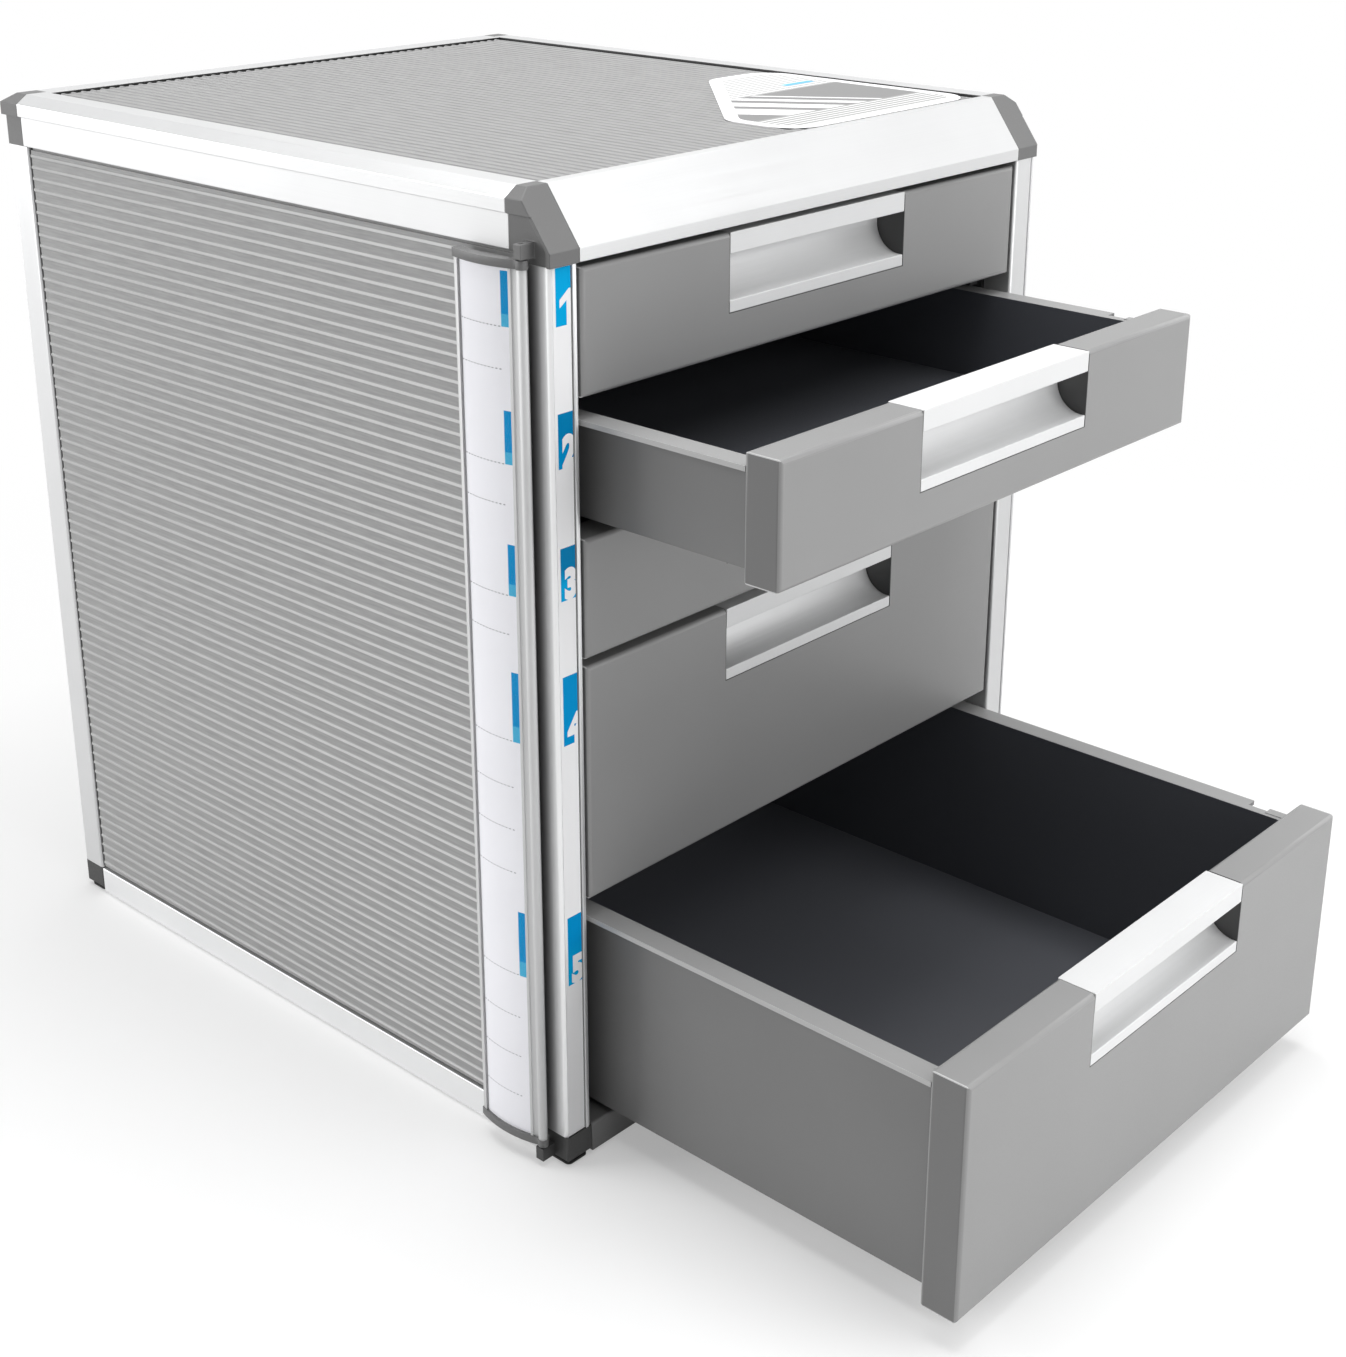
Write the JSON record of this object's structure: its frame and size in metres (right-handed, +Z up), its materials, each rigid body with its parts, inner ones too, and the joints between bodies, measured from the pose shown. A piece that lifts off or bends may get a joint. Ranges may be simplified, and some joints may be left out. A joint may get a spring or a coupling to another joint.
{
  "type": "desktop drawer cabinet",
  "caption": "Desktop drawer cabinet for A4 papers: ribbed panels in an aluminium frame, shallow and deep sliding drawers with recessed handles, and a swinging index panel.",
  "frame": {"origin": "on the floor under the feet, midway between the frame's side faces, and midway between its back face and the front of the lowest drawer, which stands open at rest", "axes": "+Z up, the drawers' fronts face -Y and the drawers open along -Y, +X to the right seen from the front"},
  "size_m": [0.3071, 0.521, 0.3935],
  "materials": {
    "aluminium": "satin anodised",
    "handle_aluminium": "satin anodised",
    "panel_metal": "grey coated, ribbed",
    "corner_plastic": "fine matte",
    "front_plastic": "satin",
    "tray_plastic": "satin",
    "inner_plastic": "matte",
    "foot_rubber": "matte",
    "screw_steel": "zinc plated",
    "label_paper": "smooth card",
    "sticker_vinyl": "printed film",
    "clear_film": "clear"
  },
  "bodies": {
    "cabinet": {"panel_left": "panel_metal", "panel_right": "panel_metal", "panel_top": "panel_metal", "panel_back": "panel_metal", "panel_base": "inner_plastic", "fascia_front": "aluminium", "rail_top_left": "aluminium", "rail_top_right": "aluminium", "rail_top_back": "aluminium", "rail_bottom_left": "aluminium", "rail_bottom_right": "aluminium", "rail_bottom_back": "aluminium", "sill_front": "corner_plastic", "post_front_left": "aluminium", "post_front_right": "aluminium", "post_back_left": "aluminium", "post_back_right": "aluminium", "cap_top_front_left": "corner_plastic", "cap_top_front_right": "corner_plastic", "cap_top_back_left": "corner_plastic", "cap_top_back_right": "corner_plastic", "cap_bottom_front_left": "corner_plastic", "cap_bottom_front_right": "corner_plastic", "cap_bottom_back_left": "corner_plastic", "cap_bottom_back_right": "corner_plastic", "runner_left": "inner_plastic", "runner_right": "inner_plastic", "foot_pads": "foot_rubber", "cap_screws": "screw_steel", "label_strip": "label_paper", "top_sticker": "sticker_vinyl"},
    "index_panel": {"index_profile": "aluminium", "index_card": "label_paper", "index_film": "clear_film", "index_cap_top": "corner_plastic", "index_cap_bottom": "corner_plastic"},
    "drawer_1": {"drawer_1_front": "front_plastic", "drawer_1_tray": "tray_plastic", "drawer_1_handle": "handle_aluminium"},
    "drawer_2": {"drawer_2_front": "front_plastic", "drawer_2_tray": "tray_plastic", "drawer_2_handle": "handle_aluminium"},
    "drawer_3": {"drawer_3_front": "front_plastic", "drawer_3_tray": "tray_plastic", "drawer_3_handle": "handle_aluminium"},
    "drawer_4": {"drawer_4_front": "front_plastic", "drawer_4_tray": "tray_plastic", "drawer_4_handle": "handle_aluminium"},
    "drawer_5": {"drawer_5_front": "front_plastic", "drawer_5_tray": "tray_plastic", "drawer_5_handle": "handle_aluminium"}
  },
  "joints": [
    {"name": "drawer_1_slide", "type": "slide", "parent": "cabinet", "child": "drawer_1", "axis": [0, -1, 0], "range_m": [0, 0.25]},
    {"name": "drawer_2_slide", "type": "slide", "parent": "cabinet", "child": "drawer_2", "axis": [0, -1, 0], "range_m": [-0.0914, 0.1586]},
    {"name": "drawer_3_slide", "type": "slide", "parent": "cabinet", "child": "drawer_3", "axis": [0, -1, 0], "range_m": [0, 0.25]},
    {"name": "drawer_4_slide", "type": "slide", "parent": "cabinet", "child": "drawer_4", "axis": [0, -1, 0], "range_m": [0, 0.25]},
    {"name": "drawer_5_slide", "type": "slide", "parent": "cabinet", "child": "drawer_5", "axis": [0, -1, 0], "range_m": [-0.178, 0.072]},
    {"name": "index_hinge", "type": "hinge", "parent": "cabinet", "child": "index_panel", "pos_m": [-0.1529, -0.0733, 0.19], "axis": [0, 0, 1], "range_deg": [0, 110]}
  ]
}
